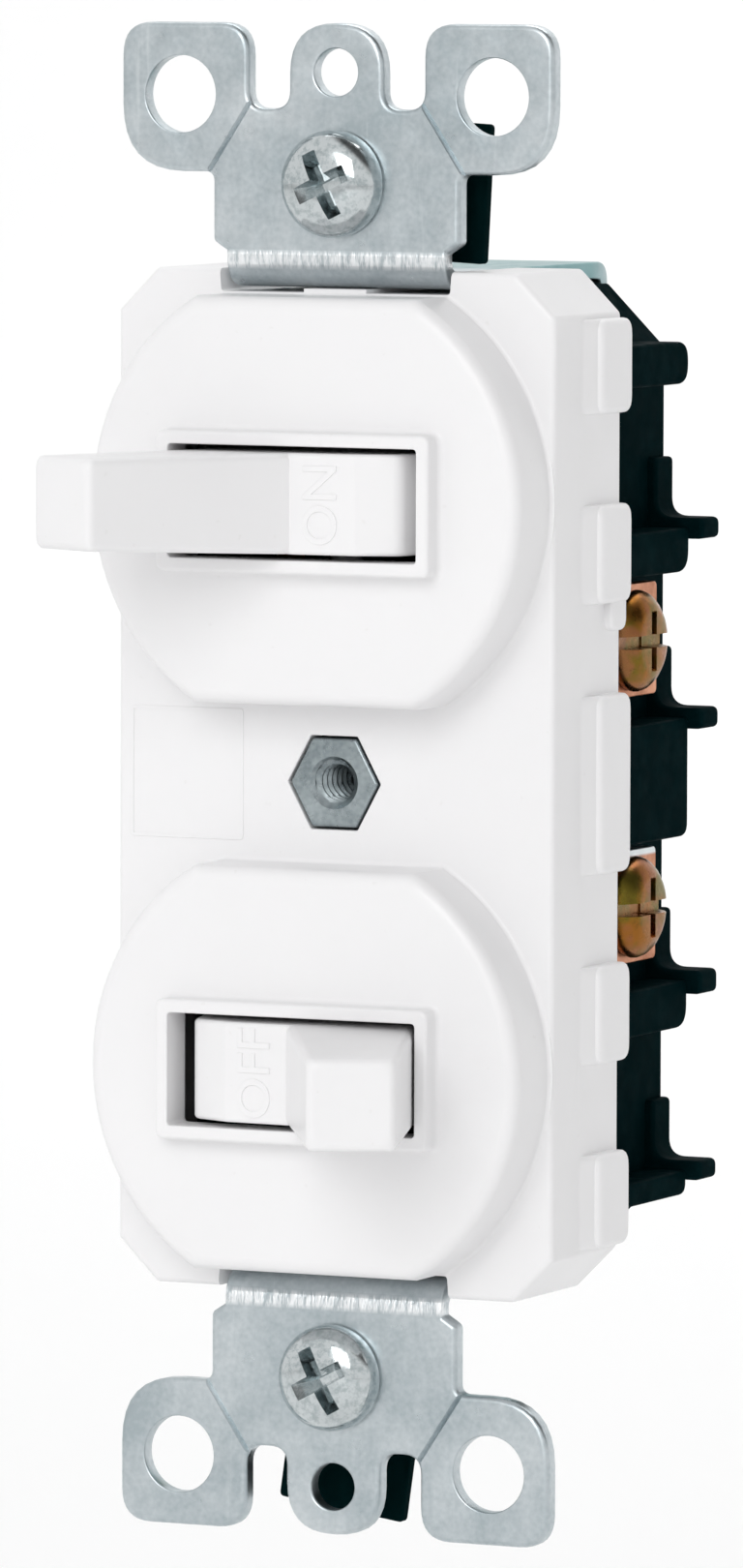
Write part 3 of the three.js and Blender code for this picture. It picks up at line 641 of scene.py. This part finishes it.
def strap_end(end):
    outline = wrap_outline(end)
    neck = common(side(outline, -NECK_SIDE, NECK_SIDE, 0.18, 0.18), box(-20, 20, -5, 2.5, -60, 60))
    wrap = side(outline, -WRAP_SIDE, WRAP_SIDE, 0.18, 0.18)
    removed = [front(circle(2.7, (across * 12, end * 47.8)), STRAP_FRONT, 0, -0.14, -0.1)
               for across in (-1, 1)]
    removed.append(front(circle(1.66, (0, end * 49.4), 40), STRAP_FRONT, 0, -0.18, -0.1))
    removed.append(front(rectangle(2.6, 1.95, 1.9, (0, end * SCREW_Z)), -2, 1))
    removed += [score_line(across, end) for across in (-1, 1)]
    return cut(joined(end_plate(end), neck, wrap), *removed)


def mounting_strap():
    wing = top(corners([(-6.9, 15.7), (-16.2, 15.7, 1), (-16.2, 23.3, 1), (-6.9, 23.3)]),
               -WRAP_OUTER_Z, -WRAP_INNER_Z, 0.15, 0.15)
    x, y, _ = GROUND_SCREW
    ground_hole = top(circle(2, (x, y)), -WRAP_OUTER_Z - 1, -WRAP_INNER_Z + 1)
    post_hole = front(circle(2.15), WRAP_REAR - 3, WRAP_REAR + 1)
    return cut(joined(strap_end(1), strap_end(-1), wing), ground_hole, post_hole)


# ---------------------------------------------------------------- rear base

CHAMBER_FLOOR = 23.8
FIN_FRONT = 23.5
BARRIERS = (
    {"top": 17.7, "fin": 16.2, "foot": 13.9, "corner": 1.6},
    {"top": 4.2, "fin": 2.7, "foot": -4.9, "corner": 1.0},
    {"top": -14.5, "fin": -16.2, "foot": -18.5, "corner": 1.6},
    {"top": -28.1, "fin": -29.5, "foot": -30.5, "corner": 0.9},
)


def barrier(across, sizes):
    high, low, foot = sizes["top"], sizes["fin"], sizes["foot"]
    fin = front(corners([(across * a, z, radius) for a, z, radius in (
        (12, high + 4.2, 0), (13.5, high + 4.2, 0.4), (13.5, high, 1.3), (17.1, high, 0.5),
        (17.1, low, 0.5), (12, low, 0))]), FIN_FRONT, BASE_REAR, 0.3, 0.3)
    block = corners([
        (BASE_FRONT, high - 0.7), (BASE_FRONT, foot), (FIN_FRONT + 0.2, foot, sizes["corner"]),
        (FIN_FRONT + 0.2, high - 0.7)])
    return [fin, sided(block, across, 12, 16, 0.3)]


def sided(outline, across, inner, outer, edge):
    """An outline in Y and Z, filled outwards on one side of the part."""
    if across > 0:
        return side(outline, inner, outer, 0, edge)
    return side(outline, -outer, -inner, edge, 0)


def toggle_cradle(z):
    seat_x = 1.55
    rise = PIVOT_Y - 1.4
    outline = corners([
        (-4.5, CHAMBER_FLOOR + 0.5), (-4.5, 4), (-3, rise, 0.3), (3, rise, 0.3), (4.5, 4),
        (4.5, CHAMBER_FLOOR + 0.5)])
    seat = [Vector((seat_x * math.cos(a), PIVOT_Y + seat_x * math.sin(a)))
            for a in (math.radians(15 * k) for k in range(13))]
    seat += [Vector((-seat_x, rise - 1)), Vector((seat_x, rise - 1))]
    return [cut(top(outline, z + low, z + high, 0.1, 0.1), top(tidy_outline(seat), z - 7, z + 7))
            for low, high in ((-5.45, -3.85), (3.85, 5.45))]


def base_openings(across):
    """The chamber at one end, and the terminal slots and wire holes on one side."""
    openings = [box(-10.8, 10.8, 0, CHAMBER_FLOOR, across * 6.3, across * 29.5)]
    for end in (-1, 1):
        openings.append(box(across * 10, across * 14, 10.25, 11.55, end * 5.9, end * 13.1))
        bore = placed(turned([(1.95, -2.5), (1.95, 2.5)]), about_z=90)
        openings.append(placed(bore, (across * 12.8, TERMINAL_Y, end * TERMINAL_Z)))
        openings.append(front(circle(1.2, (across * 9.7, end * 10), 24), CHAMBER_FLOOR - 1,
                              BASE_REAR, 0, -0.25))
        openings.append(front(rectangle(0.6, 1.2, 0.2, (across * 9.7, end * 13.5), 3),
                              CHAMBER_FLOOR - 1, BASE_REAR, 0, -0.15))
    return openings


def rear_base():
    body = front(chamfered(12.8, 34.1, 4.4, 0.34), BASE_FRONT, BASE_REAR, 0.1, 0.3)
    added = [
        front(chamfered(15, 32.1, 2.4, 0.2), 7.6, BASE_FRONT + 0.15, 0.1, 0.1),
        front(circle(5.2), STRAP_FRONT + 2.3, 9, 0.2),
    ]
    removed = [front(rectangle(8.2, 36), 25.85, BASE_REAR + 1)]
    cradles = []
    for across in (-1, 1):
        rib = corners([(BASE_FRONT, 27.2), (24, 27.2, 1.4), (24, 30.2, 1.4), (BASE_FRONT, 30.2)])
        added.append(sided(rib, across, 10, 15.8, 0.35))
        for sizes in BARRIERS:
            added += barrier(across, sizes)
        removed += base_openings(across)
        cradles += toggle_cradle(across * FACE_Z)
    shell = cut(joined(body, *added), *removed)
    return cut(joined(shell, *cradles), front(hexagon(6.8), -2, BASE_REAR + 1))


# ---------------------------------------------------------------- toggles

TIP = 25.7
SHOULDER = -9.25
TIP_SHIFT = 0.35
TOGGLE_HALF_HEIGHT = 3.5


def lever(end):
    """The lever, narrowing from the drum's shoulder to a rounded tip."""
    levels = [(SHOULDER + 2, 4.6, 3.5, 0, 0)]
    for share in (0, 0.12, 0.5, 1.0):
        y = SHOULDER - share * (TIP - 0.6 + SHOULDER)
        levels.append((y, 4.5 - 1.4 * share, 3.49 - 0.29 * share, share, 0))
    for shift, depth in reversed(edge_steps(0.6)):
        levels.append((-TIP + depth, 3.1, 3.2, 1, shift))
    rings = []
    for y, half_x, half_z, share, shift in levels:
        middle = (0, end * TIP_SHIFT * share)
        outline = rectangle(half_x - shift, half_z - shift, 0.6, middle, 5)
        rings.append([(x, y, z) for x, z in outline])
    return skin(rings)


def toggle(end):
    """The drum with its facets and the lever on it, about the trunnions' axis."""
    half = [(4.5, SHOULDER, 0.15), (8.75, -6.95, 0.6), (10.95, -4.6, 1.2),
            (10.4, -1.3, 0.6), (3.4, 1.2, 0.4), (3.1, 2.8, 0.3)]
    outline = corners(half + [(-x, y, radius) for x, y, radius in half][::-1])
    drum = top(outline, -TOGGLE_HALF_HEIGHT, TOGGLE_HALF_HEIGHT, 0.3, 0.3)
    trunnions = placed(turned([(1.3, -5.5), (1.5, -5.3), (1.5, 5.3), (1.3, 5.5)]), about_x=90)
    bore = turned([(1.85, -4.7), (1.85, 4)])
    return cut(joined(drum, lever(end), trunnions), bore)


def raised_word(word, across):
    """A word standing on the drum's facet beside the lever, reading upwards along the axis."""
    data = bpy.data.curves.new("word", "FONT")
    data.body = word
    data.size = 3.6
    data.space_character = 1.02
    data.align_x = "CENTER"
    data.align_y = "CENTER"
    data.extrude = 0.07
    data.bevel_depth = 0.03
    words = bpy.data.objects.new("word", data)
    bpy.context.scene.collection.objects.link(words)
    bpy.context.view_layer.update()
    graph = bpy.context.evaluated_depsgraph_get()
    mesh = bpy.data.meshes.new_from_object(words.evaluated_get(graph), depsgraph=graph)
    bpy.data.objects.remove(words)
    near, far = Vector((4.5 * across, SHOULDER, 0)), Vector((8.75 * across, -6.95, 0))
    along = (far - near).normalized()
    reading = Vector((0, 0, 1))
    if across < 0:
        along = -along
    outwards = reading.cross(-along).normalized()
    centre = (near + far) / 2
    facing = Matrix((reading, -along, outwards)).transposed().to_4x4()
    mesh.transform(Matrix.Translation(centre) @ facing)
    return new_object("word", mesh)


# ---------------------------------------------------------------- screws, post, plates and retainers

def threaded(root, crest, pitch, y0, y1, around=28, rows_per_turn=8):
    """A closed rod with a helical thread between two values of y."""
    rings = []
    count = max(2, round((y1 - y0) / pitch * rows_per_turn))
    for row in range(count + 1):
        y = y0 + (y1 - y0) * row / count
        fade = min(1, (y1 - y) / pitch)
        ring = []
        for k in range(around):
            phase = (y / pitch - k / around) % 1
            ridge = 1 - abs(2 * phase - 1)
            radius = root + (crest - root) * min(1, ridge * 1.35) * max(0, fade)
            ring.append((radius * math.cos(2 * math.pi * k / around), y,
                         radius * math.sin(2 * math.pi * k / around)))
        rings.append(ring)
    return skin(rings)


def blade(half_long, half_thick, y0, y1, end_share, thick_share):
    """One blade of a screw's recess: longest and thickest at y0, in front."""
    rings = []
    for y, long_share, wide_share in ((y0, 1, 1), (y1, end_share, thick_share)):
        a, b = half_long * long_share, half_thick * wide_share
        rings.append([(-a, y, -b), (a, y, -b), (a, y, b), (-a, y, b)])
    return skin(rings)


def dome(radius, height, edge, flatness):
    """[radius, y] pairs of a rounded head, from the middle of its front back to its seat."""
    pairs = []
    for k in range(11):
        t = math.pi / 2 * (1 - k / 10)
        pairs.append((max(radius * math.cos(t) ** flatness, 0.05), -edge - (height - edge) * math.sin(t)))
    return pairs + [(radius, -edge * 0.4), (radius - 0.12, 0)]


def mounting_screw():
    head = turned(dome(3.75, 2.5, 0.45, 0.62) + [(1.5, 0), (1.5, 1)])
    slot = blade(3.1, 0.72, -3.2, -0.9, 0.5, 0.35)
    cross = blade(2.7, 0.75, -3.2, -0.5, 0.25, 0.35)
    shank = threaded(1.42, 1.7, 0.794, 0.4, 16.2)
    cross = placed(cross, about_y=90)
    return joined(cut(head, slot, cross), shank)


def terminal_screw(length):
    profile = [(0.05, -1.8), (2.15, -1.8), (2.5, -1.72), (3.05, -1.35), (3.42, -0.95), (3.58, -0.55),
               (3.6, -0.3), (3.5, 0), (1.5, 0), (1.5, 0.8)]
    slot = blade(4.2, 0.5, -2.6, -0.65, 1, 0.85)
    cross = placed(blade(2.7, 0.48, -2.6, -0.55, 0.45, 0.75), about_y=90)
    return joined(cut(turned(profile), slot, cross), threaded(1.42, 1.68, 0.794, 0.3, length))


def centre_post():
    hexed = front(hexagon(6.2, 0.25), STRAP_FRONT, 25.8, 0.22, 0.1)
    neck = turned([(1.9, 24.8), (1.9, WRAP_REAR - 0.25), (1.65, WRAP_REAR)])
    bore = turned([(2.3, STRAP_FRONT - 0.45), (1.85, STRAP_FRONT), (1.62, STRAP_FRONT + 0.25),
                   (1.3, STRAP_FRONT + 0.55), (1.3, 11)])
    return cut(joined(hexed, neck), bore, threaded(1.2, 1.68, 0.794, STRAP_FRONT + 0.1, 10.4))


def screw_retainer():
    outline = corners([(-5, -5, 0.35), (10.1, -5, 0.35), (10.1, 4.7, 0.35), (-5, 4.7, 0.35)], 4)
    return cut(front(outline, 0, 0.8, 0.08, 0.08), front(circle(1.75, steps=32), -1, 2))


def terminal_plate(across, end):
    plate = [10.5, 11.3]
    low, high = sorted((end * 6.9, end * 22.2))
    leg = box(across * 5.4, across * 10.2, *plate, low, high, 0.08)
    low, high = sorted((end * 6.9, end * 12.8))
    tongue = box(across * 10, across * 14.9, *plate, low, high, 0.08)
    pad = corners([(y, end * z, radius) for y, z, radius in (
        (10.5, 6.9, 0.2), (10.5, 12.8, 0.2), (12.5, 13.4, 0.3), (20.5, 13.4, 0.5), (20.5, 5.4, 0.5),
        (12.5, 5.4, 0.3))], 4)
    hole = placed(turned([(1.8, -2), (1.8, 2)]), (across * 14.9, TERMINAL_Y, end * TERMINAL_Z), about_z=90)
    solid = joined(leg, tongue, sided(pad, across, 14.1, 14.9, 0.1))
    if across < 0:
        solid = joined(solid, *pivot_lugs(end * FACE_Z))
    return cut(solid, hole)


def pivot_lugs(z):
    """The bridge under the rocker, and the two lugs that its pin lies in."""
    bridge = box(-6, 2.2, 10.5, 11.3, z - 3.5, z + 3.5, 0.08)
    seat_x = 0.95
    outline = [Vector((seat_x * math.cos(a), 8.75 + seat_x * math.sin(a)))
               for a in (math.radians(180 - 15 * k) for k in range(13))][::-1]
    outline = [Vector((2.2, 8.05)), Vector((2.2, 10.6)), Vector((-2.2, 10.6)), Vector((-2.2, 8.05)),
               Vector((-seat_x, 8.05))] + outline[::-1] + [Vector((seat_x, 8.05))]
    return [bridge] + [top(tidy_outline(outline), z + low, z + high)
                       for low, high in ((-3.5, -2.8), (2.8, 3.5))]

# ---------------------------------------------------------------- the pieces, in place

def finish_node(node, material):
    """Gives a CAD node that keeps its own mesh a better material."""
    slots = frame["nodes"][node].data.materials
    if not slots:
        slots.append(material)
    for index in range(len(slots)):
        slots[index] = material


def place_switch(where, end, lean):
    turn = lean * math.degrees(TILT)
    spot = (0, PIVOT_Y, end * FACE_Z)
    node = f"toggle_{where}"
    finished(placed(toggle(end), spot, about_z=turn), node, toggle_white)
    for word, across in (("ON", 1), ("OFF", -1)):
        mark = placed(raised_word(word, across), spot, about_z=turn)
        finished(mark, node, toggle_white, f"mark_{word.lower()}_{where}")


def place_terminals(where, end):
    for name, across in (("right", 1), ("left", -1)):
        finished(terminal_plate(across, end), f"terminal_plate_{name}_{where}", copper_plate)
        screw = placed(terminal_screw(4.5), (across * TERMINAL_X, TERMINAL_Y, end * TERMINAL_Z),
                       about_z=across * 90)
        finished(screw, f"terminal_screw_{name}_{where}", chromate_screw)


def place_hardware(where, end, screw_turn, retainer_turn, retainer_y):
    """A mounting screw and its retainer, each turned by degrees, the retainer at its depth."""
    screw = placed(mounting_screw(), (0, STRAP_FRONT - 0.05, end * SCREW_Z), about_y=screw_turn)
    finished(screw, f"mounting_screw_{where}", screw_zinc)
    retainer = placed(screw_retainer(), (0, retainer_y, end * SCREW_Z), about_y=retainer_turn)
    finished(retainer, f"screw_retainer_{where}", fibre_dark)


cover_white = white_plastic("cover_white")
toggle_white = white_plastic("toggle_white")
strap_zinc = zinc_sheet("strap_zinc")
base_black = black_moulding("base_black")
fibre_dark = fibre("fibre_dark")
copper_plate = copper("copper_plate")
chromate_screw = chromate("screw_chromate")
screw_zinc = bright_screw("screw_zinc")

finished(front_cover(), "front_cover", cover_white)
finished(mounting_strap(), "mounting_strap", strap_zinc)
finished(rear_base(), "rear_base", base_black)
finished(centre_post(), "centre_post", zinc_part("post_zinc"))
place_switch("upper", 1, -1)
place_switch("lower", -1, 1)
place_terminals("upper", 1)
place_terminals("lower", -1)
place_hardware("top", 1, 65, 3, 2.05)
place_hardware("bottom", -1, 62, 98, 3.4)
finished(placed(terminal_screw(3.2), GROUND_SCREW, about_x=90),
         "ground_screw", plain_metal("screw_green", (0.03, 0.22, 0.08), 0.3))

INNER = {
    "plunger": nylon("plunger_nylon"),
    "toggle_spring": plain_metal("spring_steel", (0.45, 0.47, 0.49), 0.3),
    "contact_rocker": plain_metal("rocker_brass", (0.62, 0.45, 0.17), 0.3),
    "moving_contact": plain_metal("contact_silver", (0.72, 0.72, 0.70), 0.28),
    "fixed_contact": plain_metal("fixed_silver", (0.72, 0.72, 0.70), 0.28),
}
for kind, material in INNER.items():
    for where in ("upper", "lower"):
        finish_node(f"{kind}_{where}", material)


# ---------------------------------------------------------------- camera, floor and light

VIEW = {
    "azimuth": math.radians(25.349),
    "elevation": math.radians(4.442),
    "roll": math.radians(0.148),
    "distance": 0.80695,
    "target": Vector((2.304, 0, -0.078)) * MM,
    "lens": 266.0,
}


def place_camera():
    data = bpy.data.cameras.new("camera")
    data.lens = VIEW["lens"]
    data.sensor_width = 36
    camera = bpy.data.objects.new("camera", data)
    bpy.context.scene.collection.objects.link(camera)
    across, up_angle, roll = VIEW["azimuth"], VIEW["elevation"], VIEW["roll"]
    away = Vector((math.sin(across) * math.cos(up_angle), -math.cos(across) * math.cos(up_angle),
                   math.sin(up_angle)))
    right = Vector((math.cos(across), math.sin(across), 0))
    up = away.cross(right)
    tilted_right = right * math.cos(roll) + up * math.sin(roll)
    tilted_up = up * math.cos(roll) - right * math.sin(roll)
    axes = Matrix((tilted_right, tilted_up, away)).transposed().to_4x4()
    camera.matrix_world = Matrix.Translation(VIEW["target"] + away * VIEW["distance"]) @ axes
    bpy.context.scene.camera = camera


def place_light(name, spot, aim, size, power):
    data = bpy.data.lights.new(name, "AREA")
    data.shape = "SQUARE"
    data.size = size
    data.energy = power
    light = bpy.data.objects.new(name, data)
    bpy.context.scene.collection.objects.link(light)
    light.location = spot
    light.rotation_euler = (Vector(aim) - Vector(spot)).to_track_quat("-Z", "Y").to_euler()


def build_floor():
    """A pale sheet that sweeps up into a backdrop far behind the part."""
    mesh = bpy.data.meshes.new("floor")
    shape = bmesh.new()
    profile = [(-3.0, 0.0), (2.0, 0.0)]
    profile += [(2.0 + math.sin(a) * 1.0, 1.0 - math.cos(a) * 1.0)
                for a in (math.radians(10 * step) for step in range(1, 10))]
    profile.append((3.0, 4.0))
    rows = [[shape.verts.new((x, y, z - 0.10)) for y, z in profile] for x in (-4, 4)]
    for i in range(len(profile) - 1):
        shape.faces.new((rows[0][i], rows[1][i], rows[1][i + 1], rows[0][i + 1]))
    shape.to_mesh(mesh)
    shape.free()
    floor = bpy.data.objects.new("floor", mesh)
    bpy.context.scene.collection.objects.link(floor)
    shade(floor, 60)
    paint = Paint("floor_pale", (0.93, 0.93, 0.93), 0.9, specular=0.1)
    paint.color(paint.mix(paint.noise(3, 2), (0.94, 0.94, 0.94), (0.92, 0.92, 0.92)))
    mesh.materials.append(paint.material)


DIM_SIDE = Vector((0.45, 0.30, 0.84))
DIM_EDGE = (0.62, 0.85)


def light_world(level, dim):
    """A pale studio, dimmer above, behind and to the right, so that the metals have something to reflect."""
    world = bpy.data.worlds.new("studio")
    world.use_nodes = True
    tree = world.node_tree
    back = tree.nodes["Background"]
    back.inputs["Color"].default_value = (1, 1, 1, 1)
    place = tree.nodes.new("ShaderNodeTexCoord").outputs["Generated"]
    lean = tree.nodes.new("ShaderNodeVectorMath")
    lean.operation = "DOT_PRODUCT"
    lean.inputs[1].default_value = DIM_SIDE.normalized()
    tree.links.new(place, lean.inputs[0])
    fall = tree.nodes.new("ShaderNodeMapRange")
    fall.interpolation_type = "SMOOTHSTEP"
    fall.inputs["From Min"].default_value, fall.inputs["From Max"].default_value = DIM_EDGE
    fall.inputs["To Min"].default_value = level
    fall.inputs["To Max"].default_value = dim
    tree.links.new(lean.outputs["Value"], fall.inputs["Value"])
    tree.links.new(fall.outputs["Result"], back.inputs["Strength"])
    bpy.context.scene.world = world


bpy.context.scene.view_settings.view_transform = "Standard"
place_camera()
build_floor()
light_world(0.88, 0.08)
place_light("key", (0.15, -1.05, 0.50), (0, 0, 0), 0.6, 3.7)
place_light("floor_wash", (0, 1.4, 2.2), (0, 1.6, 0), 2.0, 30.0)
